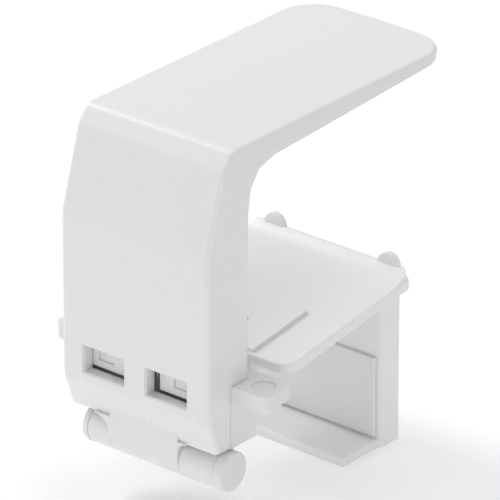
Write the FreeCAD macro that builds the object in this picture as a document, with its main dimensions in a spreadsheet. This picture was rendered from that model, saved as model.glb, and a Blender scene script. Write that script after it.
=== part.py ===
import FreeCAD, Part

import math
import os

import Sketcher
from FreeCAD import Placement, Rotation, Vector

# A child-safety lid latch. A clamp grips a rim between an outer jaw (the base) and a rear jaw that
# slides on a ratchet track. An arm swings up on a hinge pin and reaches over the closed lid, and two
# squeeze latches in its sides lock it there.
#
# X is across the latch, Y runs from the arm's front face back over the lid, and Z is up.
# While it is modelled, Y = 0 is the arm's front face and Z = 0 is the top of the rear jaw's sole.
# Every finished piece is then set back by half the latch's depth and raised by the sole, so that
# the origin lies on the floor under the middle.

doc = FreeCAD.newDocument("lid_latch")
sheet = doc.addObject("Spreadsheet::Sheet", "sizes")

DIMENSIONS = [
    # the arm
    ("arm_width", 60.0, "width of the arm and its front"),
    ("arm_depth", 122.0, "front face to the tip of the finger"),
    ("arm_top", 128.0, "height of the finger's top face"),
    ("crease_height", 95.0, "where the front face starts to lean back"),
    ("chin_height", 39.0, "where the front face turns in below"),
    ("chin_inset", 4.2, "how far the chin turns in"),
    ("skirt_height", 27.5, "lower edge of the front face"),
    ("brow_inset", 8.3, "front face to the bottom of the brow"),
    ("brow_height", 122.3, "bottom of the brow"),
    ("top_start", 12.9, "front face to the top of the brow"),
    ("skin", 2.4, "wall of the front shell"),
    ("top_skin", 1.8, "wall of the front shell over the finger"),
    ("finger_root", 7.8, "thickness of the finger at its root"),
    ("finger_tip", 3.0, "thickness of the finger at its tip"),
    ("root_start", 32.0, "where the finger's underside starts"),
    ("post_depth", 19.7, "depth of the arm's upright"),
    ("post_low_depth", 18.6, "depth of the upright low down"),
    ("cheek_depth", 23.7, "depth of the upright's lower cheeks"),
    ("cheek_height", 44.0, "top of the lower cheeks"),
    ("bend_height", 105.0, "where the upright's back starts to bend"),
    ("side_wall", 2.5, "side wall of the rear shell"),
    ("back_wall", 2.4, "back wall of the rear shell"),
    ("back_opening", 66.0, "top of the opening behind the upright"),
    ("shell_step", 0.2, "how far the rear shell's sides stand in"),
    ("window_inner", 4.6, "middle to the window's inner edge"),
    ("window_outer", 21.0, "middle to the window's outer edge"),
    ("window_low", 42.0, "bottom of the windows"),
    ("window_high", 51.2, "top of the windows"),
    ("window_depth", 4.2, "depth of the windows' frames"),
    # the hinge
    ("pin_depth", 9.8, "front face to the hinge pin's axis"),
    ("pin_height", 20.3, "height of the hinge pin's axis"),
    ("pin_radius", 3.0, "radius of the hinge pin"),
    ("knuckle_radius", 6.5, "radius of the knuckle and barrels"),
    ("knuckle_left", 13.0, "middle to the knuckle's left end"),
    ("knuckle_right", 14.8, "middle to the knuckle's right end"),
    ("left_head", 25.0, "middle to the outside of the left head"),
    ("right_head", 32.0, "middle to the outside of the right head"),
    ("left_head_wall", 2.4, "thickness of the left head"),
    ("right_head_wall", 3.3, "thickness of the right head"),
    ("head_radius", 6.6, "radius of both heads"),
    # the base
    ("base_width", 48.8, "width of the outer jaw"),
    ("base_front", 12.6, "front face to the outer jaw's front"),
    ("base_back", 24.0, "front face to the outer jaw's open back"),
    ("base_low", 24.0, "bottom of the outer jaw"),
    ("base_high", 62.0, "top of the outer jaw"),
    ("base_wall", 2.2, "wall of the outer jaw"),
    ("plate_wall", 2.2, "thickness of the outer jaw's back plate"),
    ("pad_wall", 1.2, "thickness of the soft pads"),
    # the rear jaw
    ("plate_tilt", 7.9, "slope of the top plate, in degrees"),
    ("plate_width", 64.4, "width of the top plate"),
    ("plate_start", 36.0, "front face to the top plate's front edge"),
    ("plate_height", 46.7, "height of the top plate's front edge"),
    ("plate_length", 62.8, "length of the top plate"),
    ("plate_thick", 3.5, "thickness of the top plate"),
    ("leg_width", 60.0, "width of the leg"),
    ("foot_drop", 1.5, "how far the leg's foot reaches below the datum"),
    ("leg_front", 85.2, "front face to the leg's front"),
    ("leg_back", 94.6, "front face to the leg's back"),
    ("leg_wall", 2.8, "wall of the leg"),
    ("lip_width", 58.6, "width of the lip at the leg's foot"),
    ("lip_front", 67.3, "front face to the lip's front edge"),
    ("lip_thick", 3.0, "thickness of the lip"),
    ("ear_spacing", 47.0, "distance between the two ears"),
    ("ear_radius", 4.0, "radius of the ears"),
    ("ramp_rise", 3.0, "how far the top plate sweeps up at its rear edge"),
    ("ramp_run", 10.0, "length of the sweep"),
    ("ear_height", 57.7, "height of the ears' centres"),
    ("guide_spacing", 31.6, "distance between the two guide ribs"),
    ("guide_width", 2.6, "width of a guide rib"),
    ("guide_rise", 1.2, "height of a guide rib"),
    ("guide_length", 28.6, "length of a guide rib"),
    # the ratchet
    ("track_width", 22.0, "width of the ratchet track"),
    ("track_thick", 3.6, "thickness of the ratchet track"),
    ("track_gap", 0.2, "running clearance round the track"),
    ("track_length", 38.0, "length of the track past the plate's front"),
    ("tooth_pitch", 3.0, "pitch of the ratchet teeth"),
    ("tooth_depth", 0.7, "depth of the ratchet teeth"),
    ("pawl_width", 5.6, "width of the release pawl"),
    ("pawl_thick", 2.4, "thickness of the release pawl"),
    ("pawl_pivot", 9.0, "plate's front edge to the pawl's pivot"),
    ("pawl_pin_radius", 0.8, "radius of the pawl's pin"),
    # the squeeze latches
    ("latch_travel", 2.0, "how far a latch is squeezed in"),
    ("latch_fit", 0.15, "gap round the latch's cheek panel"),
    ("panel_front", 11.0, "front face to the front of the cheek panel"),
    ("tab_reach", 43.5, "middle to the end of a squeeze tab"),
    ("tab_front", 11.6, "front face to the front of a tab"),
    ("tab_back", 25.1, "front face to the back of a tab"),
    ("tab_high", 48.5, "top of a tab"),
    ("tab_low_front", 43.0, "bottom of a tab at its front"),
    ("tab_low_back", 44.7, "bottom of a tab at its back"),
    ("bolt_inner", 6.6, "middle to the inner end of a latch bolt"),
    ("bolt_outer", 22.2, "middle to the outer end of a latch bolt"),
    ("bolt_front", 4.6, "front face to the front of a latch bolt"),
    ("bolt_back", 11.6, "front face to the back of a latch bolt"),
    ("bolt_low", 43.0, "bottom of a latch bolt"),
    ("bolt_high", 52.0, "top of a latch bolt"),
    ("spring_radius", 2.4, "outside radius of a latch spring"),
    ("spring_wire", 0.5, "wire of a latch spring"),
    ("screw_radius", 1.2, "radius of the screws' shanks"),
    ("screw_head", 2.4, "radius of the screws' heads"),
]
for row, (alias, value, meaning) in enumerate(DIMENSIONS, 1):
    sheet.set(f"A{row}", meaning)
    sheet.set(f"B{row}", str(value))
    sheet.setAlias(f"B{row}", alias)
doc.recompute()


class Size:
    """A length that knows its value and the expression that gives it from the sheet."""

    def __init__(self, value, text):
        self.value = value
        self.text = text

    def __add__(self, other):
        other = as_size(other)
        return Size(self.value + other.value, f"({self.text} + {other.text})")

    def __sub__(self, other):
        other = as_size(other)
        return Size(self.value - other.value, f"({self.text} - {other.text})")

    def __mul__(self, other):
        other = as_size(other)
        return Size(self.value * other.value, f"({self.text} * {other.text})")

    def __truediv__(self, other):
        other = as_size(other)
        return Size(self.value / other.value, f"({self.text} / {other.text})")

    def __neg__(self):
        return Size(-self.value, f"(0 - {self.text})")

    __radd__ = __add__
    __rmul__ = __mul__

    def __rsub__(self, other):
        return as_size(other) - self


def as_size(number):
    return number if isinstance(number, Size) else Size(float(number), f"({float(number)})")


class Sizes:
    """size.arm_width is the Size of the sheet's cell arm_width."""

    def __getattr__(self, alias):
        return Size(float(sheet.get(alias)), f"sizes.{alias}")


size = Sizes()
tilt = size.plate_tilt
tilt_cos = Size(math.cos(math.radians(tilt.value)), "cos(sizes.plate_tilt * 1 deg)")
tilt_sin = Size(math.sin(math.radians(tilt.value)), "sin(sizes.plate_tilt * 1 deg)")


def bind(thing, **properties):
    """Gives each property the Size's expression; a double underscore stands for a dot."""
    for name, value in properties.items():
        thing.setExpression(name.replace("__", "."), as_size(value).text)


def place(thing, x, y, z):
    bind(thing, Placement__Base__x=x, Placement__Base__y=y, Placement__Base__z=z)


# ---------------------------------------------------------------- the kinds of solid

PLANES = {"X": "YZ_Plane", "Y": "XZ_Plane", "Z": "XY_Plane"}


def origin_plane(body, role):
    return next(f for f in body.Origin.OriginFeatures if f.Role == role)


def outline_sketch(body, name, along, start, points):
    """A closed polygon on one of the body's own planes, every corner bound to its two sizes.

    along is the axis that the pad will follow, and start is where on it the sketch lies."""
    sketch = body.newObject("Sketcher::SketchObject", name)
    sketch.AttachmentSupport = [(origin_plane(body, PLANES[along]), "")]
    sketch.MapMode = "FlatFace"
    offset = -start if along == "Y" else start
    bind(sketch, AttachmentOffset__Base__z=offset)
    corners = [(as_size(a), as_size(b)) for a, b in points]
    places = [Vector(a.value, b.value, 0) for a, b in corners]
    count = len(places)
    for i in range(count):
        sketch.addGeometry(Part.LineSegment(places[i], places[(i + 1) % count]))
    for i in range(count):
        sketch.addConstraint(Sketcher.Constraint("Coincident", i, 2, (i + 1) % count, 1))
    for i, (a, b) in enumerate(corners):
        for kind, length in (("DistanceX", a), ("DistanceY", b)):
            rule = Sketcher.Constraint(kind, -1, 1, i, 1, length.value)
            index = sketch.addConstraint(rule)
            sketch.setExpression(f"Constraints[{index}]", length.text)
    return sketch


def prism(name, along, start, length, points):
    """A Body whose pad runs along an axis from start: points are (Y, Z) along X, (X, Z) along Y
    and (X, Y) along Z."""
    body = doc.addObject("PartDesign::Body", name)
    sketch = outline_sketch(body, f"{name}_outline", along, as_size(start), points)
    pad = body.newObject("PartDesign::Pad", f"{name}_pad")
    pad.Profile = sketch
    pad.Reversed = along == "Y"
    bind(pad, Length=length)
    body.Tip = pad
    doc.recompute()
    return body


def block(name, x, y, z):
    """A Box between the two sizes of each pair."""
    box = doc.addObject("Part::Box", name)
    bind(box, Length=x[1] - x[0], Width=y[1] - y[0], Height=z[1] - z[0])
    place(box, x[0], y[0], z[0])
    return box


TURNS = {"X": Rotation(Vector(0, 1, 0), 90), "Y": Rotation(Vector(1, 0, 0), -90), "Z": Rotation()}


def rod(name, along, radius, start, length):
    """A Cylinder that starts at the point start and runs along an axis."""
    cylinder = doc.addObject("Part::Cylinder", name)
    cylinder.Placement = Placement(Vector(), TURNS[along])
    bind(cylinder, Radius=radius, Height=length)
    place(cylinder, *start)
    return cylinder


def fuse(name, parts):
    joined = doc.addObject("Part::MultiFuse", name)
    joined.Shapes = parts
    doc.recompute()
    return joined


def common(name, parts):
    shared = doc.addObject("Part::MultiCommon", name)
    shared.Shapes = parts
    doc.recompute()
    return shared


def cut(name, base, tools):
    """base without the tools. Each tool has to take something away."""
    tool = tools[0] if len(tools) == 1 else fuse(f"{name}_tools", tools)
    result = doc.addObject("Part::Cut", name)
    result.Base = base
    result.Tool = tool
    doc.recompute()
    if result.Shape.Volume > base.Shape.Volume - 0.001:
        raise RuntimeError(f"{name}: the cut takes nothing away")
    return result


def rounded(name, base, radius, chosen):
    """base with the edges that chosen() picks rounded."""
    doc.recompute()
    fillet = doc.addObject("Part::Fillet", name)
    fillet.Base = base
    picked = [i for i, edge in enumerate(base.Shape.Edges, 1) if chosen(edge)]
    fillet.Edges = [(i, radius.value, radius.value) for i in picked]
    doc.recompute()
    if not picked or not fillet.Shape.isValid():
        raise RuntimeError(f"{name}: no edge was rounded")
    return fillet


def ends(edge):
    return [vertex.Point for vertex in edge.Vertexes]


def on_plane(edge, axis, level, slack=0.02):
    """True when the whole edge lies where x, y or z is level."""
    box = edge.BoundBox
    low, high = getattr(box, f"{axis}Min"), getattr(box, f"{axis}Max")
    return abs(low - level) < slack and abs(high - level) < slack


def mirrored(name, base):
    """The same shape on the other side of the middle."""
    copy = doc.addObject("Part::Mirroring", name)
    copy.Source = base
    copy.Normal = Vector(1, 0, 0)
    doc.recompute()
    return copy


finished = []


def finish(thing, label):
    """Labels a finished piece and sets it back so that the latch is centred over its origin."""
    thing.Label = label
    bind(thing, Placement__Base__y=-size.arm_depth / 2, Placement__Base__z=size.foot_drop)
    finished.append(thing)
    return thing


half_width = size.arm_width / 2

# ---------------------------------------------------------------- the arm's two shells

FRONT_OUTSIDE = [
    (size.chin_inset, size.skirt_height),
    (0, size.chin_height),
    (0, size.crease_height),
    (size.brow_inset, size.brow_height),
    (size.top_start, size.arm_top),
]
# the joint between the shells, one skin behind the front face and the finger's top face
JOINT_LINE = [
    (size.top_start + 1.2, size.arm_top - size.top_skin),
    (size.brow_inset + 2.2, size.brow_height - 1.0),
    (size.skin, size.crease_height - 0.4),
    (size.skin, size.chin_height + 0.4),
    (size.chin_inset + 2.3, size.skirt_height + 0.7),
]


def finger_plan(name, half, reach, low, high):
    """The arm seen from above: straight sides and a blunt, rounded tip."""
    shoulder = reach - 0.9
    plan = prism(
        name,
        "Z",
        low,
        high - low,
        [(-half, -1), (half, -1), (half, shoulder), (0, reach), (-half, shoulder)],
    )

    def upright_at_tip(edge):
        points = ends(edge)
        upright = abs(points[0].z - points[-1].z) > 5
        return upright and points[0].y > shoulder.value - 1 and abs(points[0].x) > 1

    return rounded(f"{name}_rounded", plan, as_size(14.0), upright_at_tip)


def front_shell():
    """Front skin, brow and top skin in one moulding, with the windows and the hinge knuckle."""
    tip = (size.arm_depth + 2, size.arm_top)
    under_tip = (size.arm_depth + 2, size.arm_top - size.top_skin)
    side = prism(
        "front_shell_side",
        "X",
        -half_width,
        size.arm_width,
        FRONT_OUTSIDE + [tip, under_tip] + JOINT_LINE,
    )
    plan = finger_plan(
        "front_shell_plan", half_width, size.arm_depth, as_size(20), size.arm_top + 10
    )
    for crease, (y, z) in enumerate(FRONT_OUTSIDE[1:]):
        y, z = as_size(y).value, as_size(z).value

        def at_crease(edge):
            return on_plane(edge, "Y", y) and on_plane(edge, "Z", z)

        softness = as_size((6.0, 14.0, 4.0, 4.0)[crease])
        side = rounded(f"front_shell_crease_{crease}", side, softness, at_crease)
    skin = common("front_shell_skin", [side, plan])
    joint = [(as_size(a).value, as_size(b).value) for a, b in JOINT_LINE]
    joint.insert(0, (size.arm_depth.value, size.arm_top.value - size.top_skin.value))

    def away_from_joint(point):
        """Distance in the side view from the line where the shells meet."""
        nearest = 1e9
        for (y0, z0), (y1, z1) in zip(joint, joint[1:]):
            dy, dz = y1 - y0, z1 - z0
            along = ((point.y - y0) * dy + (point.z - z0) * dz) / (dy * dy + dz * dz)
            along = min(1, max(0, along))
            off = math.hypot(point.y - y0 - along * dy, point.z - z0 - along * dz)
            nearest = min(nearest, off)
        return nearest

    def on_outer_edge(edge):
        if on_plane(edge, "Z", size.arm_top.value):
            return edge.BoundBox.YMin > size.top_start.value + 1
        at_side = on_plane(edge, "X", -half_width.value) or on_plane(edge, "X", half_width.value)
        middle = edge.valueAt((edge.FirstParameter + edge.LastParameter) / 2)
        return at_side and away_from_joint(middle) > 1.65

    skin = rounded("front_shell_soft", skin, as_size(1.6), on_outer_edge)
    pieces = [skin]
    windows = []
    for side_name, sign in (("left", -1), ("right", 1)):
        inner, outer_x = size.window_inner, size.window_outer
        across = (inner, outer_x) if sign > 0 else (-outer_x, -inner)
        frame = block(
            f"window_frame_{side_name}",
            (across[0] - 1.2, across[1] + 1.2),
            (size.skin - 0.6, size.window_depth),
            (size.window_low - 1.2, size.window_high + 1.2),
        )
        pieces.append(frame)
        hole = block(
            f"window_{side_name}",
            across,
            (as_size(-1), size.window_depth + 1),
            (size.window_low, size.window_high),
        )
        bevel = prism(
            f"window_bevel_{side_name}",
            "X",
            across[0] - 0.5,
            across[1] - across[0] + 1,
            [
                (-0.5, size.window_low - 1.0),
                (0.5, size.window_low),
                (0.5, size.window_high),
                (-0.5, size.window_high + 1.0),
            ],
        )
        windows += [hole, bevel]
    web = block(
        "spring_web",
        (as_size(-0.8), as_size(0.8)),
        (size.skin - 0.6, as_size(10.8)),
        (size.bolt_low, size.bolt_high),
    )
    knuckle_length = size.knuckle_left + size.knuckle_right
    skirt_front = size.pin_depth - size.knuckle_radius - 0.3
    knuckle = rod(
        "knuckle",
        "X",
        size.knuckle_radius,
        (-size.knuckle_left, size.pin_depth, size.pin_height),
        knuckle_length,
    )
    neck = prism(
        "knuckle_neck",
        "X",
        -size.knuckle_left,
        knuckle_length,
        [
            (skirt_front, 31),
            (skirt_front, size.pin_height),
            (size.pin_depth + size.knuckle_radius - 0.4, size.pin_height),
            (11.5, 31),
        ],
    )
    corners = [
        cut(
            f"knuckle_corner_{side_name}",
            block(
                f"corner_block_{side_name}",
                (start, start + size_of),
                (skirt_front, size.chin_inset + 1.6),
                (size.skirt_height - size_of, size.skirt_height + 0.3),
            ),
            [
                rod(
                    f"corner_round_{side_name}",
                    "Y",
                    size_of,
                    (centre, as_size(1.0), size.skirt_height - size_of),
                    as_size(8.0),
                ),
                rod(
                    f"corner_clear_{side_name}",
                    "X",
                    size.knuckle_radius + 0.2,
                    (as_size(-40), size.pin_depth, size.pin_height),
                    as_size(80),
                ),
            ],
        )
        for side_name, start, centre, size_of in (
            ("left", -size.knuckle_left - 6.5, -size.knuckle_left - 6.5, as_size(6.5)),
            ("right", size.knuckle_right, size.knuckle_right + 3.2, as_size(3.2)),
        )
    ]
    bore = rod(
        "knuckle_bore",
        "X",
        size.pin_radius + 0.06,
        (-size.knuckle_left - 1, size.pin_depth, size.pin_height),
        knuckle_length + 2,
    )
    bosses = []
    for index, (x, z) in enumerate(ARM_SCREWS):
        start = (x, size.skin - 0.6, z)
        bosses.append(rod(f"arm_boss_{index}", "Y", as_size(3.0), start, boss_end - start[1]))
        hole_start = (x, size.skin + 1.0, z)
        windows.append(rod(f"boss_hole_{index}", "Y", size.screw_radius, hole_start, boss_end))
    body = fuse("front_shell_body", pieces + [web, knuckle, neck] + corners + bosses)
    return finish(cut("front_shell", body, windows + [bore]), "arm_front_shell")


def cheek_opening(name, fit):
    """The side opening for a latch's cheek panel, seen along X, larger all round by fit."""
    return [
        (size.panel_front - fit, size.skirt_height - 4),
        (size.panel_front - fit, size.tab_high + fit),
        (size.cheek_depth + 4, size.tab_high + fit),
        (size.cheek_depth + 4, size.skirt_height - 4),
    ]


def rear_shell():
    """Side walls, back wall and the finger's underside, hollow towards the front shell."""
    half = half_width - size.shell_step
    root_low = size.arm_top - size.finger_root
    tip_low = size.arm_top - size.finger_tip
    outside = [
        (size.chin_inset + 2.3, size.skirt_height),
        (size.panel_front - 0.3, size.skirt_height),
        (size.cheek_depth, size.skirt_height - 1.0),
        (size.cheek_depth, size.cheek_height),
        (size.post_low_depth, size.cheek_height + 6),
        (size.post_depth, size.bend_height),
        (size.post_depth + 1.2, size.bend_height + 7.6),
        (size.post_depth + 5.1, size.bend_height + 13.0),
        (size.root_start, root_low),
        (size.arm_depth + 2, tip_low),
        (size.arm_depth + 2, size.arm_top - size.top_skin),
    ]
    side = prism("rear_shell_side", "X", -half, half * 2, outside + JOINT_LINE)
    plan = finger_plan(
        "rear_shell_plan", half, size.arm_depth - size.shell_step, as_size(20), size.arm_top + 10
    )
    solid = common("rear_shell_solid", [side, plan])
    inner = half - size.side_wall
    hollow = prism(
        "rear_shell_hollow",
        "X",
        -inner,
        inner * 2,
        [
            (-2, 15),
            (-2, size.arm_top - 0.5),
            (100, size.arm_top - 0.5),
            (100, tip_low + 0.6),
            (size.root_start + 1, root_low + 1.9),
            (size.post_depth + 4.3, root_low + 0.4),
            (size.post_depth - 1.1, size.bend_height + 10),
            (size.post_depth - size.back_wall, size.bend_height),
            (size.post_depth - size.back_wall, size.back_opening),
            (40, size.back_opening),
            (40, 15),
        ],
    )
    tools = [hollow]
    for side_name, start in (("left", -half - 1), ("right", inner - 0.5)):
        tools.append(
            prism(
                f"cheek_opening_{side_name}",
                "X",
                start,
                size.side_wall + 1.5,
                cheek_opening(side_name, size.latch_fit),
            )
        )
    shell = cut("rear_shell_hollowed", solid, tools)
    posts = []
    holes = []
    for index, (x, z) in enumerate(ARM_SCREWS):
        start = (x, boss_end, z)
        length = size.post_depth - size.back_wall + 0.4 - boss_end
        posts.append(rod(f"arm_post_{index}", "Y", as_size(3.0), start, length))
        hole_start = (x, boss_end - 1, z)
        hole_radius = size.screw_radius + 0.15
        holes.append(rod(f"arm_hole_{index}", "Y", hole_radius, hole_start, as_size(16)))
        head_start = (x, size.post_depth - 1.6, z)
        holes.append(
            rod(f"arm_sink_{index}", "Y", size.screw_head + 0.1, head_start, as_size(6))
        )
    body = fuse("rear_shell_body", [shell] + posts)
    return finish(cut("rear_shell", body, holes), "arm_rear_shell")


def screw(name, centre, back, length):
    """A pan-headed screw that runs forward from its head at back."""
    x, z = centre
    shank = rod(f"{name}_shank", "Y", size.screw_radius, (x, back - length, z), length)
    head = rod(f"{name}_head", "Y", size.screw_head, (x, back - 0.01, z), as_size(1.0))
    slots = []
    for turn, (wide, tall) in enumerate(((0.5, 2.6), (2.6, 0.5))):
        slots.append(
            block(
                f"{name}_slot_{turn}",
                (x - wide / 2, x + wide / 2),
                (back + 0.5, back + 2),
                (z - tall / 2, z + tall / 2),
            )
        )
    return cut(f"{name}_solid", fuse(f"{name}_body", [shank, head]), slots)


def screws(label, centres, back, length):
    """A set of like screws, each a solid of its own, as one piece."""
    made = [screw(f"{label}_{i}", c, back, length) for i, c in enumerate(centres)]
    group = doc.addObject("Part::Compound", label)
    group.Links = made
    doc.recompute()
    return finish(group, label)


ARM_SCREWS = [
    (as_size(-20.0), as_size(74.0)),
    (as_size(20.0), as_size(74.0)),
    (as_size(-20.0), as_size(90.0)),
    (as_size(20.0), as_size(90.0)),
]

# where the front shell's screw bosses meet the rear shell's posts
boss_end = as_size(9.0)

# ---------------------------------------------------------------- the squeeze latches


# the outer jaw's slot for a hook, and the hook's outer end a hair short of the slot's edge
slot_out = as_size(20.6)
hook_out = slot_out - 0.12
hook_back = size.base_front + size.base_wall + 2.7


def squeeze_latch(side_name):
    """Bolt behind the window, hook, cheek panel in the arm's side and finger tab, all in one."""
    half = half_width - size.shell_step
    inside = half - size.side_wall - 0.7
    panel = prism(
        f"cheek_panel_{side_name}",
        "X",
        inside,
        half - inside,
        [
            (size.panel_front, size.skirt_height - 0.4),
            (size.panel_front, size.tab_high),
            (size.cheek_depth + 1.4, size.tab_high),
            (size.cheek_depth + 1.4, size.tab_low_back),
            (size.cheek_depth, size.cheek_height),
            (size.cheek_depth, size.skirt_height - 0.4),
        ],
    )
    tab = prism(
        f"tab_{side_name}",
        "X",
        half - 0.4,
        size.tab_reach - half + 0.4,
        [
            (size.tab_front, size.tab_low_front),
            (size.tab_front, size.tab_high),
            (size.tab_back, size.tab_high),
            (size.tab_back, size.tab_low_back),
        ],
    )
    reach = size.tab_reach.value

    def outer_corner(edge):
        points = ends(edge)
        upright = abs(points[0].z - points[-1].z) > 2 and abs(points[0].y - points[-1].y) < 0.1
        return upright and abs(points[0].x - reach) < 0.1

    tab = rounded(f"tab_soft_{side_name}", tab, as_size(3.0), outer_corner)
    fairing = prism(
        f"tab_fairing_{side_name}",
        "Z",
        size.tab_low_front + 0.3,
        size.tab_high - size.tab_low_front - 0.3,
        [
            (half - 0.4, size.panel_front + 0.3),
            (half - 0.4, size.panel_front + 4),
            (half + 3.4, size.panel_front + 4),
            (half + 3.4, size.tab_front),
            (half + 1.0, size.tab_front - 0.1),
        ],
    )
    arm = block(
        f"latch_arm_{side_name}",
        (size.bolt_outer - 1, inside + 0.5),
        (size.bolt_back - 2.4, size.base_front - 0.3),
        (size.bolt_low - 5, size.bolt_low + 4),
    )
    stem = block(
        f"hook_stem_{side_name}",
        (hook_out - 5, hook_out - 2),
        (size.bolt_back - 0.5, hook_back),
        (size.bolt_low + 2.5, size.bolt_low + 6.5),
    )
    barb = block(
        f"hook_barb_{side_name}",
        (hook_out - 3, hook_out),
        (size.base_front + size.base_wall + 0.3, hook_back),
        (size.bolt_low + 2.5, size.bolt_low + 6.5),
    )
    bolt = block(
        f"bolt_{side_name}",
        (size.bolt_inner, size.bolt_outer),
        (size.bolt_front, size.bolt_back),
        (size.bolt_low, size.bolt_high),
    )
    pocket = block(
        f"bolt_pocket_{side_name}",
        (size.bolt_inner + 5.6, size.bolt_outer - 3.6),
        (size.bolt_front - 1, size.bolt_front + 0.7),
        (size.bolt_low + 2.2, size.bolt_high + 1),
    )
    seat = rod(
        f"spring_seat_{side_name}",
        "X",
        size.spring_radius + 0.2,
        (size.bolt_inner - 1, as_size(7.4), (size.bolt_low + size.bolt_high) / 2),
        as_size(3.0),
    )
    thumb = rod(
        f"thumb_dish_{side_name}",
        "Z",
        as_size(4.0),
        (size.tab_reach - 6.5, (size.tab_front + size.tab_back) / 2, size.tab_high - 0.6),
        as_size(2),
    )
    body = fuse(f"latch_body_{side_name}", [panel, tab, fairing, arm, stem, barb, bolt])
    return cut(f"latch_{side_name}", body, [pocket, seat, thumb])


def latch_spring(side_name):
    """A coil spring between the web behind the front skin and the bolt."""
    wire = size.spring_wire / 2
    mean = size.spring_radius - wire
    length = size.bolt_inner + 2.0 - 0.8 - size.spring_wire - 0.2
    turns = 5
    path = doc.addObject("Part::Helix", f"spring_path_{side_name}")
    bind(path, Radius=mean, Height=length, Pitch=length / turns)
    section = doc.addObject("Part::Circle", f"spring_wire_{side_name}")
    bind(section, Radius=wire)
    section.Placement = Placement(Vector(mean.value, 0, 0), Rotation(Vector(1, 0, 0), 90))
    bind(section, Placement__Base__x=mean)
    doc.recompute()
    coil = doc.addObject("Part::Sweep", f"spring_coil_{side_name}")
    coil.Sections = [section]
    coil.Spine = (path, ["Edge1"])
    coil.Solid = True
    coil.Frenet = True
    coil.Placement = Placement(Vector(), TURNS["X"])
    start = (0.8 + wire + 0.1, as_size(7.4), (size.bolt_low + size.bolt_high) / 2)
    place(coil, *start)
    doc.recompute()
    return coil


def keep_in_place(name, thing):
    """A holder for a piece whose own Placement is in use, so that the finished piece has its own."""
    group = doc.addObject("Part::Compound", name)
    group.Links = [thing]
    doc.recompute()
    return group


def latches_and_springs():
    right = squeeze_latch("right")
    left = mirrored("latch_left_mirror", squeeze_latch("left"))
    finish(keep_in_place("latch_right_piece", right), "squeeze_latch_right")
    finish(keep_in_place("latch_left_piece", left), "squeeze_latch_left")
    finish(keep_in_place("spring_right_piece", latch_spring("right")), "latch_spring_right")
    left_coil = mirrored("spring_left_mirror", latch_spring("left"))
    finish(keep_in_place("spring_left_piece", left_coil), "latch_spring_left")


# ---------------------------------------------------------------- the base, or outer jaw

BASE_SCREWS = [
    (as_size(x), as_size(z)) for z in (29.4, 57.2) for x in (-18.5, 18.5)
]


def base_housing():
    """A box open at the back, with the hinge barrels on lugs below it and slots for the bolts."""
    half = size.base_width / 2
    wall = size.base_wall
    outside = block(
        "base_outside",
        (-half, half),
        (size.base_front, size.base_back),
        (size.base_low, size.base_high),
    )

    def along_depth_or_up(edge):
        box = edge.BoundBox
        return on_plane(edge, "Y", size.base_front.value) and box.ZMin > size.base_low.value + 0.5

    outside = rounded("base_soft", outside, as_size(1.2), along_depth_or_up)
    inside = block(
        "base_inside",
        (wall - half, half - wall),
        (size.base_front + wall, size.base_back + 1),
        (size.base_low + wall + 0.8, size.base_high - wall),
    )
    hollowed = cut("base_hollowed", outside, [inside])
    parts = [hollowed]
    holes = []
    for index, (x, z) in enumerate(BASE_SCREWS):
        start = (x, size.base_front + 1, z)
        depth = size.base_back - size.base_front - 1
        parts.append(rod(f"base_boss_{index}", "Y", as_size(3.0), start, depth))
        hole_start = (x, size.base_front + 3.4, z)
        holes.append(rod(f"base_hole_{index}", "Y", size.screw_radius, hole_start, as_size(12)))
    barrels = (
        ("left", size.left_head_wall - size.left_head, -size.knuckle_left),
        ("right", size.knuckle_right, size.right_head - size.right_head_wall),
    )
    for side_name, low, high in barrels:
        clear_low, clear_high = low + 0.15, high - 0.15
        barrel_start = (clear_low, size.pin_depth, size.pin_height)
        barrel_length = clear_high - clear_low
        parts.append(
            rod(f"barrel_{side_name}", "X", size.knuckle_radius, barrel_start, barrel_length)
        )
        lug_low = clear_low if side_name == "right" else clear_low + 0.5
        lug_high = half - 0.5 if side_name == "right" else clear_high
        parts.append(
            prism(
                f"lug_{side_name}",
                "X",
                lug_low,
                lug_high - lug_low,
                [
                    (size.pin_depth, size.pin_height),
                    (size.pin_depth + 5.4, size.pin_height - 2),
                    (size.base_back - 1, size.base_low + 1),
                    (size.base_back - 1, size.base_low + 3),
                    (size.base_front + 0.3, size.base_low + 3),
                    (size.pin_depth + 1.4, size.pin_height + 6.0),
                ],
            )
        )
    holes.append(
        rod(
            "barrel_bore",
            "X",
            size.pin_radius + 0.02,
            (as_size(-40), size.pin_depth, size.pin_height),
            as_size(80),
        )
    )
    holes.append(
        block(
            "knuckle_room",
            (-size.knuckle_left - 0.15, size.knuckle_right + 0.15),
            (as_size(0), size.pin_depth + 9.0),
            (as_size(0), size.base_low + 9.5),
        )
    )
    for side_name, sign in (("left", -1), ("right", 1)):
        inner = hook_out - 5 - size.latch_travel - 0.4
        across = (inner, slot_out) if sign > 0 else (-slot_out, -inner)
        holes.append(
            block(
                f"bolt_slot_{side_name}",
                across,
                (size.base_front - 1, size.base_front + wall + 1),
                (size.bolt_low + 1, size.bolt_high - 1),
            )
        )
    cap_start = (-size.left_head - 1, size.pin_depth, size.pin_height)
    cap_room = size.left_head_wall + 1.15
    holes.append(rod("cap_room", "X", size.head_radius + 0.15, cap_start, cap_room))
    body = fuse("base_body", parts)
    return finish(cut("base_piece", body, holes), "base_housing")


def along_plate(run, depth):
    """(Y, Z) of the point that lies run along the top plate and depth under its top face."""
    run, depth = as_size(run), as_size(depth)
    y = size.plate_start + run * tilt_cos + depth * tilt_sin
    z = size.plate_height + run * tilt_sin - depth * tilt_cos
    return y, z


def track_band(name, half, first, last, top, bottom):
    """A bar that lies along the top plate, between two runs and two depths."""
    corners = [(first, bottom), (last, bottom), (last, top), (first, top)]
    return prism(name, "X", -half, half * 2, [along_plate(r, d) for r, d in corners])


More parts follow.
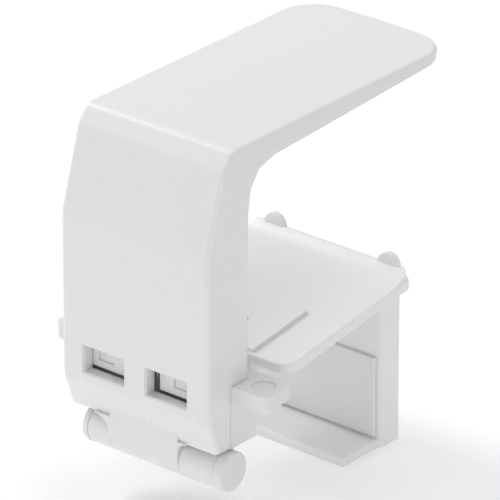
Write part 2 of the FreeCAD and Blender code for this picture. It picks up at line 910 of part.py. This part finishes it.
track_top = size.plate_thick + size.track_gap
track_bottom = track_top + size.track_thick


def base_back_plate():
    """The plate that closes the outer jaw's back and bears on the rim."""
    half = size.base_width / 2
    back = size.base_back + size.plate_wall
    plate = block("back_plate", (-half, half), (size.base_back, back), (size.base_low, size.base_high))

    def round_the_back(edge):
        return on_plane(edge, "Y", back.value)

    plate = rounded("back_plate_soft", plate, as_size(0.8), round_the_back)
    clearance = size.track_gap / 2
    slot = track_band(
        "track_slot", size.track_width / 2 + clearance, -16, -6, track_top - 0.1, track_bottom + 0.1
    )
    holes = [slot]
    for index, (x, z) in enumerate(BASE_SCREWS):
        start = (x, size.base_back - 1, z)
        holes.append(rod(f"plate_hole_{index}", "Y", size.screw_radius + 0.15, start, as_size(5)))
        sink = (x, back - 1.1, z)
        holes.append(rod(f"plate_sink_{index}", "Y", size.screw_head + 0.15, sink, as_size(3)))
    return finish(cut("back_plate_piece", plate, holes), "base_back_plate")


def ratchet_track():
    """The toothed tongue that the rear jaw slides on, held in the outer jaw by its crossbar."""
    half = size.track_width / 2
    tongue = track_band("track_tongue", half, -13.0, size.track_length, track_top, track_bottom)
    bar_y = size.base_back
    bar = block(
        "track_crossbar",
        (-half - 5, half + 5),
        (bar_y - 3.2, bar_y - 0.02),
        (as_size(35.5), as_size(43.5)),
    )
    first, count = 6.0, 9
    teeth = []
    for i in range(count):
        start = first + size.tooth_pitch * i
        corners = [
            (start, track_top - 0.5),
            (start, track_top + size.tooth_depth),
            (start + 1.6, track_top + size.tooth_depth),
            (start + 2.3, track_top - 0.5),
        ]
        points = [along_plate(r, d) for r, d in corners]
        teeth.append(prism(f"tooth_gap_{i}", "X", -size.pawl_width / 2 - 1, size.pawl_width + 2, points))
    body = fuse("track_body", [tongue, bar])
    return finish(cut("track_piece", body, teeth), "ratchet_track")


def hinge_pin():
    """The pin with its right head, and the cap that is pressed on its left end."""
    axis = (size.pin_depth, size.pin_height)
    shaft_start = -size.left_head + 0.8
    inner = size.right_head - size.right_head_wall
    shaft = rod("pin_shaft", "X", size.pin_radius, (shaft_start, *axis), inner - shaft_start + 0.5)
    head = rod("pin_head", "X", size.head_radius, (inner, *axis), size.right_head_wall)
    outer = size.right_head.value

    def rim(edge):
        return on_plane(edge, "X", outer)

    head = rounded("pin_head_soft", head, as_size(0.7), rim)
    finish(fuse("pin_piece", [shaft, head]), "hinge_pin")
    cap = rod("pin_cap", "X", size.head_radius, (-size.left_head, *axis), size.left_head_wall)
    left = -size.left_head.value

    def cap_rim(edge):
        return on_plane(edge, "X", left)

    cap = rounded("pin_cap_soft", cap, as_size(0.9), cap_rim)
    seat = rod("pin_cap_seat", "X", size.pin_radius, (shaft_start, *axis), as_size(6))
    finish(cut("pin_cap_piece", cap, [seat]), "hinge_pin_cap")


def soft_pads():
    """The soft pads on the outer jaw's back, the leg's front and under the top plate."""
    back = size.base_back + size.plate_wall
    lip_top = size.lip_thick - size.foot_drop
    front = block(
        "front_pad_block",
        (as_size(-15), as_size(15)),
        (back, back + size.pad_wall),
        (as_size(26.5), as_size(37.5)),
    )
    finish(keep_in_place("front_pad_piece", front), "front_pad")
    half = size.leg_width / 2 - 1.6
    rear = block(
        "rear_pad_block",
        (-half, half),
        (size.leg_front - size.pad_wall, size.leg_front),
        (lip_top + 1, as_size(30.5)),
    )
    face = size.leg_front.value - size.pad_wall.value

    def front_rim(edge):
        return on_plane(edge, "Y", face)

    rear = rounded("rear_pad_soft", rear, as_size(0.5), front_rim)
    finish(keep_in_place("rear_pad_piece", rear), "rear_pad")
    strips = []
    for side_name, start in (("left", -28.0), ("right", 20.0)):
        corners = [(4, size.plate_thick + 2), (46, size.plate_thick + 2)]
        corners += [(46, size.plate_thick), (4, size.plate_thick)]
        points = [along_plate(r, d) for r, d in corners]
        strips.append(prism(f"plate_pad_{side_name}", "X", as_size(start), as_size(8), points))
    group = doc.addObject("Part::Compound", "plate_pad_group")
    group.Links = strips
    finish(group, "plate_pads")


# ---------------------------------------------------------------- the rear jaw


def rear_jaw():
    """Top plate, leg and lip in one moulding, with two ears, two guide ribs and the pawl's slot."""
    half = size.plate_width / 2
    plate = track_band("top_plate", half, 0, size.plate_length, 0, size.plate_thick)

    def plate_corner(edge):
        return on_plane(edge, "X", half.value) or on_plane(edge, "X", -half.value)

    def short_upright(edge):
        return plate_corner(edge) and abs(edge.Length - size.plate_thick.value) < 0.05

    def front_upright(edge):
        return short_upright(edge) and edge.BoundBox.YMax < size.plate_start.value + 5

    def rear_upright(edge):
        return short_upright(edge) and edge.BoundBox.YMin > size.plate_start.value + 50

    plate = rounded("top_plate_corners", plate, as_size(5.0), front_upright)
    plate = rounded("top_plate_ends", plate, as_size(3.0), rear_upright)

    def upper_rim(edge):
        middle = edge.valueAt((edge.FirstParameter + edge.LastParameter) / 2)
        run = (middle.y - size.plate_start.value) * tilt_cos.value
        run += (middle.z - size.plate_height.value) * tilt_sin.value
        level = size.plate_height.value + run * tilt_sin.value
        return edge.Length > 3.6 and middle.z > level - 0.3 * size.plate_thick.value

    plate = rounded("top_plate_soft", plate, as_size(0.7), upper_rim)
    leg_half = size.leg_width / 2
    lip_top = size.lip_thick - size.foot_drop
    leg = prism(
        "leg",
        "X",
        -leg_half,
        size.leg_width,
        [
            (size.leg_front, -size.foot_drop),
            (size.leg_back, -size.foot_drop),
            (size.leg_back, 53.5),
            (size.leg_front, 52.0),
        ],
    )

    def leg_front_corner(edge):
        side = on_plane(edge, "X", leg_half.value) or on_plane(edge, "X", -leg_half.value)
        return side and on_plane(edge, "Y", size.leg_front.value)

    leg = rounded("leg_soft", leg, as_size(1.1), leg_front_corner)
    lip_half = size.lip_width / 2
    lip = block(
        "lip",
        (-lip_half, lip_half),
        (size.lip_front, size.leg_front + 1),
        (-size.foot_drop, lip_top),
    )

    def lip_edge(edge):
        top = on_plane(edge, "Z", lip_top.value)
        return top and edge.BoundBox.YMin < size.leg_front.value

    lip = rounded("lip_soft", lip, as_size(0.8), lip_edge)
    ramp_end = size.plate_length - 0.6
    ramp_start = ramp_end - size.ramp_run
    corners = [(ramp_start, 0.4), (ramp_end, 0.4), (ramp_end, -size.ramp_rise)]
    corners.append((ramp_start, -size.ramp_rise))
    ramp = prism(
        "ramp_block",
        "X",
        0.5 - half,
        half * 2 - 1.0,
        [along_plate(r, d) for r, d in corners],
    )
    ramp_back = size.plate_start.value + ramp_end.value * tilt_cos.value

    def ramp_corner(edge):
        beside = on_plane(edge, "X", half.value - 0.5) or on_plane(edge, "X", 0.5 - half.value)
        return beside and edge.BoundBox.YMin > ramp_back - 1.5 and edge.Length > 2

    ramp = rounded("ramp_corners", ramp, as_size(2.5), ramp_corner)
    sweep = (size.ramp_run * size.ramp_run + size.ramp_rise * size.ramp_rise) / (size.ramp_rise * 2)
    sweep_y, sweep_z = along_plate(ramp_start - 0.8, -sweep)
    sweep_rod = rod("ramp_sweep", "X", sweep, (as_size(-40), sweep_y, sweep_z), as_size(80))
    parts = [plate, leg, lip, cut("ramp", ramp, [sweep_rod])]
    ear_back = size.plate_start.value + size.plate_length.value * tilt_cos.value
    for side_name, sign in (("left", -1), ("right", 1)):
        x = size.ear_spacing / 2 * sign
        y = as_size(ear_back - 2.0)
        parts.append(rod(f"ear_{side_name}", "Y", size.ear_radius, (x, y, size.ear_height), as_size(2.1)))
        stem = (x - size.ear_radius, x + size.ear_radius)
        parts.append(block(f"ear_stem_{side_name}", stem, (y, y + 2.1), (as_size(52), size.ear_height)))
        low = size.guide_spacing / 2 * sign - size.guide_width / 2
        corners = [(0.8, 0.3), (size.guide_length, 0.3), (size.guide_length - 0.6, -size.guide_rise)]
        corners.append((1.2, -size.guide_rise))
        points = [along_plate(r, d) for r, d in corners]
        parts.append(prism(f"guide_{side_name}", "X", low, size.guide_width, points))
        rail_x = as_size(13.2 * sign - 1.7)
        corners = [(2, track_bottom + 0.2), (47, track_bottom + 0.2), (47, 3.3), (2, 3.3)]
        points = [along_plate(r, d) for r, d in corners]
        parts.append(prism(f"channel_rail_{side_name}", "X", rail_x, as_size(3.4), points))
    cheek = size.leg_wall
    hollow = block(
        "leg_hollow",
        (cheek - leg_half, leg_half - cheek),
        (size.leg_front + cheek, size.leg_back + 1),
        (lip_top + 0.2, as_size(49.0)),
    )
    slot = track_band("pawl_slot", size.pawl_width / 2 + 0.25, 0.4, 16.4, -2, size.plate_thick + 1)
    pin_y, pin_z = along_plate(size.pawl_pivot, 1.6)
    pin_hole = rod("pawl_pin_hole", "X", size.pawl_pin_radius, (as_size(-6), pin_y, pin_z), as_size(12))
    screw_holes = []
    for index, (x, run) in enumerate(COVER_SCREWS):
        screw_holes.append(tilted_rod(f"cover_hole_{index}", as_size(0.7), x, run, 9.0, 1.6))
    body = fuse("rear_jaw_body", parts)
    body = cut("rear_jaw_hollowed", body, [hollow, slot, pin_hole] + screw_holes)
    ribs = []
    for index, x in enumerate((-11.0, 11.0)):
        ribs.append(
            block(
                f"leg_rib_{index}",
                (as_size(x - 0.9), as_size(x + 0.9)),
                (size.leg_front + cheek - 0.5, size.leg_back - 0.6),
                (lip_top, as_size(50)),
            )
        )
    return finish(fuse("rear_jaw_piece", [body] + ribs), "rear_jaw")


COVER_SCREWS = [(x, run) for x in (-13.2, 13.2) for run in (8.0, 41.0)]


def tilted_rod(name, radius, x, run, deep, shallow):
    """A rod square to the top plate, between two depths under its top face."""
    y, z = along_plate(run, deep)
    cylinder = doc.addObject("Part::Cylinder", name)
    cylinder.Placement = Placement(Vector(), Rotation(Vector(1, 0, 0), tilt.value))
    bind(cylinder, Radius=radius, Height=as_size(deep - shallow), Placement__Rotation__Angle=tilt)
    place(cylinder, as_size(x), y, z)
    return cylinder


def track_cover():
    """The plate screwed on under the track, which closes the rear jaw's channel round it."""
    top = track_bottom + 0.2
    plate = track_band("cover_plate", as_size(14.9), 2.0, 47.0, top, top + 1.8)
    holes = []
    for index, (x, run) in enumerate(COVER_SCREWS):
        holes.append(tilted_rod(f"cover_pass_{index}", as_size(0.95), x, run, 12.0, 5.0))
        holes.append(tilted_rod(f"cover_sink_{index}", as_size(1.6), x, run, 12.0, 8.7))
    finish(cut("track_cover_piece", plate, holes), "track_cover")
    made = []
    for index, (x, run) in enumerate(COVER_SCREWS):
        shank = tilted_rod(f"cover_shank_{index}", as_size(0.7), x, run, 8.9, 1.8)
        head = tilted_rod(f"cover_head_{index}", as_size(1.45), x, run, 9.4, 8.72)
        made.append(fuse(f"cover_screw_{index}", [shank, head]))
    group = doc.addObject("Part::Compound", "cover_screw_group")
    group.Links = made
    finish(group, "cover_screws")


def release_pawl():
    """The rocking pawl: its front end is pressed down to lift its tooth out of the track."""
    half = size.pawl_width / 2
    depth = size.pawl_thick
    corners = [
        (0.9, 0),
        (15.9, 0),
        (15.9, track_top + 0.45),
        (15.2, track_top + 0.45),
        (15.15, track_top - 0.1),
        (14.2, depth),
        (0.9, depth),
    ]
    points = [along_plate(r, d) for r, d in corners]
    lever = prism("pawl_lever", "X", -half, size.pawl_width, points)
    grips = []
    for i in range(3):
        start = 1.8 + 1.4 * i
        edges = [(start, 0.4), (start + 0.7, 0.4), (start + 0.7, -0.5), (start, -0.5)]
        run = [along_plate(r, d) for r, d in edges]
        grips.append(prism(f"pawl_grip_{i}", "X", -half - 1, size.pawl_width + 2, run))
    pin_y, pin_z = along_plate(size.pawl_pivot, 1.6)
    hole = rod(
        "pawl_hole", "X", size.pawl_pin_radius + 0.05, (as_size(-5), pin_y, pin_z), as_size(10)
    )
    finish(cut("pawl_piece", lever, [hole] + grips), "release_pawl")
    pin = rod("pawl_pin_rod", "X", size.pawl_pin_radius, (as_size(-5.9), pin_y, pin_z), as_size(11.8))
    finish(keep_in_place("pawl_pin_piece", pin), "pawl_pin")


# ---------------------------------------------------------------- build, check and write

front_shell()
rear_shell()
screws("arm_screws", ARM_SCREWS, size.post_depth - 1.58, as_size(12.0))
latches_and_springs()
base_housing()
base_back_plate()
screws("base_screws", BASE_SCREWS, size.base_back + size.plate_wall - 1.08, as_size(8.0))
ratchet_track()
hinge_pin()
soft_pads()
rear_jaw()
track_cover()
release_pawl()

doc.recompute()
for thing in doc.Objects:
    if "Invalid" in thing.State or "Error" in thing.State:
        raise RuntimeError(f"{thing.Name} did not compute: {thing.State}")
os.makedirs("parts", exist_ok=True)
for thing in finished:
    shape = thing.Shape
    if shape.isNull() or not shape.isValid() or not shape.Solids:
        raise RuntimeError(f"{thing.Label} is not a valid solid")
    shape.exportStep(f"parts/{thing.Label}.step")
    box = shape.BoundBox
    print(f"{thing.Label:22s} {len(shape.Solids)} solid(s) {shape.Volume:9.1f} mm3", box)
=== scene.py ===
import math

import bpy
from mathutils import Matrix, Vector

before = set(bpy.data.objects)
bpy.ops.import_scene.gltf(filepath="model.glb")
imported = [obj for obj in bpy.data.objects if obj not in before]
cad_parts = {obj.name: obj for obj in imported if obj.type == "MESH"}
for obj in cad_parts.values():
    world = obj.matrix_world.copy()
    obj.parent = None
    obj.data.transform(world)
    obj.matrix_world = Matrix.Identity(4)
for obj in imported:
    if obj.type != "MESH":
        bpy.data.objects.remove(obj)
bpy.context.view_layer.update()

# ---------------------------------------------------------------- the arm's front shell
# One white ABS moulding: front skin, brow and the finger's top. The mould is polished, so it has
# the highest gloss on the latch, with a faint ripple where the plastic has shrunk over the bosses.


def moulded_surface():
    """Node group: flow marks, fine mould grain and shrink ripple for every injection moulding."""
    group = bpy.data.node_groups.new("moulded_surface", "ShaderNodeTree")
    for name, kind, value in (
        ("Tone", "NodeSocketColor", (0.8, 0.8, 0.8, 1.0)),
        ("Tone Variation", "NodeSocketFloat", 0.03),
        ("Gloss", "NodeSocketFloat", 0.3),
        ("Gloss Variation", "NodeSocketFloat", 0.06),
        ("Grain Size", "NodeSocketFloat", 900.0),
        ("Grain Depth", "NodeSocketFloat", 0.05),
        ("Ripple Depth", "NodeSocketFloat", 0.02),
    ):
        socket = group.interface.new_socket(name, in_out="INPUT", socket_type=kind)
        socket.default_value = value
    for name, kind in (
        ("Color", "NodeSocketColor"),
        ("Roughness", "NodeSocketFloat"),
        ("Normal", "NodeSocketVector"),
    ):
        group.interface.new_socket(name, in_out="OUTPUT", socket_type=kind)
    nodes, links = group.nodes, group.links
    given = nodes.new("NodeGroupInput")
    result = nodes.new("NodeGroupOutput")
    place = nodes.new("ShaderNodeTexCoord")

    # slow flow marks, drawn out along the arm's height as the melt ran
    stretch = nodes.new("ShaderNodeMapping")
    stretch.inputs["Scale"].default_value = (1.0, 1.0, 0.35)
    flow = nodes.new("ShaderNodeTexNoise")
    flow.inputs["Scale"].default_value = 38.0
    flow.inputs["Detail"].default_value = 4.0
    flow.inputs["Roughness"].default_value = 0.55
    links.new(place.outputs["Object"], stretch.inputs["Vector"])
    links.new(stretch.outputs["Vector"], flow.inputs["Vector"])

    grain = nodes.new("ShaderNodeTexNoise")
    grain.inputs["Detail"].default_value = 3.0
    links.new(place.outputs["Object"], grain.inputs["Vector"])
    links.new(given.outputs["Grain Size"], grain.inputs["Scale"])

    centred = nodes.new("ShaderNodeMath")
    centred.operation = "SUBTRACT"
    centred.inputs[1].default_value = 0.5
    links.new(flow.outputs["Fac"], centred.inputs[0])

    def varied(amount, base):
        """base + (flow - 0.5) * amount"""
        scaled = nodes.new("ShaderNodeMath")
        scaled.operation = "MULTIPLY_ADD"
        links.new(centred.outputs["Value"], scaled.inputs[0])
        links.new(amount, scaled.inputs[1])
        if isinstance(base, float):
            scaled.inputs[2].default_value = base
        else:
            links.new(base, scaled.inputs[2])
        return scaled.outputs["Value"]

    shade = varied(given.outputs["Tone Variation"], 1.0)
    tone = nodes.new("ShaderNodeVectorMath")
    tone.operation = "SCALE"
    links.new(given.outputs["Tone"], tone.inputs["Vector"])
    links.new(shade, tone.inputs["Scale"])
    links.new(tone.outputs["Vector"], result.inputs["Color"])
    roughness = varied(given.outputs["Gloss Variation"], given.outputs["Gloss"])
    links.new(roughness, result.inputs["Roughness"])

    ripple = nodes.new("ShaderNodeBump")
    ripple.inputs["Distance"].default_value = 0.002
    links.new(given.outputs["Ripple Depth"], ripple.inputs["Strength"])
    links.new(flow.outputs["Fac"], ripple.inputs["Height"])
    fine = nodes.new("ShaderNodeBump")
    fine.inputs["Distance"].default_value = 0.0002
    links.new(given.outputs["Grain Depth"], fine.inputs["Strength"])
    links.new(grain.outputs["Fac"], fine.inputs["Height"])
    links.new(ripple.outputs["Normal"], fine.inputs["Normal"])
    links.new(fine.outputs["Normal"], result.inputs["Normal"])
    return group


surface = moulded_surface()


def plastic(name, tone, ior=1.5, glow=0.06, **look):
    """A white plastic: a little light soaks in, and the surface group gives the rest."""
    material = bpy.data.materials.new(name)
    material.use_nodes = True
    nodes, links = material.node_tree.nodes, material.node_tree.links
    shader = nodes["Principled BSDF"]
    shader.inputs["IOR"].default_value = ior
    shader.inputs["Subsurface Weight"].default_value = glow
    shader.inputs["Subsurface Radius"].default_value = (0.0022, 0.0020, 0.0018)
    shader.inputs["Subsurface Scale"].default_value = 1.0
    skin = nodes.new("ShaderNodeGroup")
    skin.node_tree = surface
    skin.inputs["Tone"].default_value = (*tone, 1.0)
    for socket, value in look.items():
        skin.inputs[socket.replace("_", " ")].default_value = value
    links.new(skin.outputs["Color"], shader.inputs["Base Color"])
    links.new(skin.outputs["Roughness"], shader.inputs["Roughness"])
    links.new(skin.outputs["Normal"], shader.inputs["Normal"])
    return material


def dress(material, *names):
    """Puts one finish on each of the named nodes."""
    for name in names:
        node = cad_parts[name]
        for material_slot in node.material_slots:
            material_slot.material = material


polished_white = plastic(
    "polished_white_abs",
    (0.80, 0.80, 0.805),
    Tone_Variation=0.02,
    Gloss=0.27,
    Gloss_Variation=0.05,
    Grain_Size=1400.0,
    Grain_Depth=0.06,
    Ripple_Depth=0.03,
)
dress(polished_white, "arm_front_shell")

# ---------------------------------------------------------------- the arm's rear shell
# The same ABS from a plainer mould: side walls, back wall and the underside of the finger. It is
# screwed to the front shell from behind, and a fine line shows where the two meet.

satin_white = plastic(
    "satin_white_abs",
    (0.79, 0.79, 0.795),
    Tone_Variation=0.03,
    Gloss=0.36,
    Gloss_Variation=0.08,
    Grain_Size=1100.0,
    Grain_Depth=0.12,
    Ripple_Depth=0.05,
)
dress(satin_white, "arm_rear_shell")

# ---------------------------------------------------------------- the squeeze latches
# Acetal mouldings that slide in the arm's sides. Acetal is a little waxier and warmer than ABS,
# and slips against it without grease.

waxy_white = plastic(
    "waxy_white_acetal",
    (0.78, 0.78, 0.77),
    ior=1.48,
    glow=0.12,
    Tone_Variation=0.03,
    Gloss=0.33,
    Gloss_Variation=0.08,
    Grain_Size=1300.0,
    Grain_Depth=0.10,
    Ripple_Depth=0.04,
)
dress(waxy_white, "squeeze_latch_left", "squeeze_latch_right")

# ---------------------------------------------------------------- the hinge pin and its cap
# A headed acetal pin pushed through from the right, with a cap pressed on its left end. Both have
# turned-looking round faces with a soft edge.

dress(waxy_white, "hinge_pin", "hinge_pin_cap")

# ---------------------------------------------------------------- the base, or outer jaw
# An ABS box and the plate that closes its back. It stands inside the arm while the latch is
# closed, and its hinge barrels show beside the arm's knuckle.

dress(satin_white, "base_housing", "base_back_plate")

# ---------------------------------------------------------------- the ratchet
# The toothed track, the cover under it and the rocking pawl are acetal, because they rub.

dress(waxy_white, "ratchet_track", "track_cover", "release_pawl")

# ---------------------------------------------------------------- the rear jaw
# One clearer white moulding: sloping plate, leg and lip. Its walls are thin enough for light to
# glow through a little.

thin_white = plastic(
    "thin_white_polypropylene",
    (0.82, 0.82, 0.825),
    ior=1.49,
    glow=0.2,
    Tone_Variation=0.04,
    Gloss=0.24,
    Gloss_Variation=0.08,
    Grain_Size=1000.0,
    Grain_Depth=0.06,
    Ripple_Depth=0.06,
)
dress(thin_white, "rear_jaw")

# ---------------------------------------------------------------- the soft pads
# Strips of translucent white elastomer on the faces that touch the rim. They are matt and have a
# slightly pebbled skin, so that they grip wet china.

soft_white = plastic(
    "soft_white_elastomer",
    (0.80, 0.80, 0.795),
    ior=1.42,
    glow=0.25,
    Tone_Variation=0.05,
    Gloss=0.62,
    Gloss_Variation=0.1,
    Grain_Size=2200.0,
    Grain_Depth=0.5,
    Ripple_Depth=0.05,
)
dress(soft_white, "front_pad", "rear_pad", "plate_pads")

# ---------------------------------------------------------------- screws, springs and pawl pin
# Plain zinc-plated steel: pan-headed screws, wound springs and a drawn pin. The plating is dull,
# with fine streaks from drawing and a cloudy patch here and there.


def plated_steel():
    material = bpy.data.materials.new("zinc_plated_steel")
    material.use_nodes = True
    nodes, links = material.node_tree.nodes, material.node_tree.links
    shader = nodes["Principled BSDF"]
    shader.inputs["Metallic"].default_value = 1.0
    place = nodes.new("ShaderNodeTexCoord")
    cloud = nodes.new("ShaderNodeTexNoise")
    cloud.inputs["Scale"].default_value = 420.0
    cloud.inputs["Detail"].default_value = 5.0
    links.new(place.outputs["Object"], cloud.inputs["Vector"])
    colour = nodes.new("ShaderNodeValToRGB")
    colour.color_ramp.elements[0].position = 0.35
    colour.color_ramp.elements[0].color = (0.42, 0.43, 0.45, 1.0)
    colour.color_ramp.elements[1].position = 0.7
    colour.color_ramp.elements[1].color = (0.66, 0.66, 0.65, 1.0)
    links.new(cloud.outputs["Fac"], colour.inputs["Fac"])
    links.new(colour.outputs["Color"], shader.inputs["Base Color"])
    rough = nodes.new("ShaderNodeMapRange")
    rough.inputs["To Min"].default_value = 0.28
    rough.inputs["To Max"].default_value = 0.5
    links.new(cloud.outputs["Fac"], rough.inputs["Value"])
    links.new(rough.outputs["Result"], shader.inputs["Roughness"])
    streaks = nodes.new("ShaderNodeTexNoise")
    streaks.inputs["Scale"].default_value = 2500.0
    links.new(place.outputs["Object"], streaks.inputs["Vector"])
    bump = nodes.new("ShaderNodeBump")
    bump.inputs["Strength"].default_value = 0.2
    bump.inputs["Distance"].default_value = 0.00005
    links.new(streaks.outputs["Fac"], bump.inputs["Height"])
    links.new(bump.outputs["Normal"], shader.inputs["Normal"])
    return material


dress(
    plated_steel(),
    "arm_screws",
    "base_screws",
    "cover_screws",
    "pawl_pin",
    "latch_spring_left",
    "latch_spring_right",
)

# ---------------------------------------------------------------- the floor
# A plain white sheet, large enough to fill the view from every side. It glows a little, so that it
# stays white away from the latch and still takes a soft shadow.

bpy.ops.object.select_all(action="DESELECT")
floor_size = 8.0
bpy.ops.mesh.primitive_plane_add(size=floor_size, location=(0.0, 0.0, 0.0))
floor = bpy.context.object
floor.name = "floor"
floor_paint = bpy.data.materials.new("white_paper")
floor_paint.use_nodes = True
paper = floor_paint.node_tree.nodes["Principled BSDF"]
paper.inputs["Base Color"].default_value = (0.93, 0.93, 0.935, 1.0)
paper.inputs["Roughness"].default_value = 0.7
paper.inputs["Emission Color"].default_value = (1.0, 1.0, 1.0, 1.0)
paper.inputs["Emission Strength"].default_value = 0.13
floor.data.materials.append(floor_paint)

# ---------------------------------------------------------------- the light
# A white room with an even sky and four soft round lights: a strong key high on the left, one
# overhead, and weak fills from the front and the front right. Each is a place, a size and a power.


def soft_light(name, place, target, size, power):
    data = bpy.data.lights.new(name, "AREA")
    data.shape = "DISK"
    data.size = size
    data.energy = power
    lamp = bpy.data.objects.new(name, data)
    bpy.context.scene.collection.objects.link(lamp)
    lamp.location = place
    lamp.rotation_euler = (Vector(target) - Vector(place)).to_track_quat("-Z", "Y").to_euler()


middle = (0.0, 0.0, 0.06)
soft_light("key", (-0.85, -0.1, 0.8), middle, 0.45, 5.0)
soft_light("front_fill", (-0.35, -1.1, 0.45), middle, 0.7, 0.75)
soft_light("side_fill", (0.75, -0.9, 0.15), middle, 0.6, 1.6)
soft_light("top", (0.1, 0.35, 1.2), middle, 0.8, 3.4)

room = bpy.data.worlds.new("white_room")
room.use_nodes = True
sky = room.node_tree.nodes["Background"]
sky.inputs["Color"].default_value = (1.0, 1.0, 1.0, 1.0)
sky.inputs["Strength"].default_value = 0.54
bpy.context.scene.world = room
bpy.context.scene.view_settings.view_transform = "Standard"

# ---------------------------------------------------------------- the camera
# A long lens from the front right, a little above the finger's top.

azimuth, elevation = math.radians(39.8), math.radians(25.2)
distance = 2.0
view_width = 0.1577
target = Vector((0.0, -0.0048, 0.07175))
back = Vector(
    (
        math.sin(azimuth) * math.cos(elevation),
        -math.cos(azimuth) * math.cos(elevation),
        math.sin(elevation),
    )
)
camera_data = bpy.data.cameras.new("camera")
camera_data.sensor_width = 36.0
camera_data.lens = camera_data.sensor_width * distance / view_width
camera_data.clip_end = 20.0
camera = bpy.data.objects.new("camera", camera_data)
bpy.context.scene.collection.objects.link(camera)
camera.location = target + back * distance
camera.rotation_euler = (-back).to_track_quat("-Z", "Y").to_euler()
bpy.context.scene.camera = camera
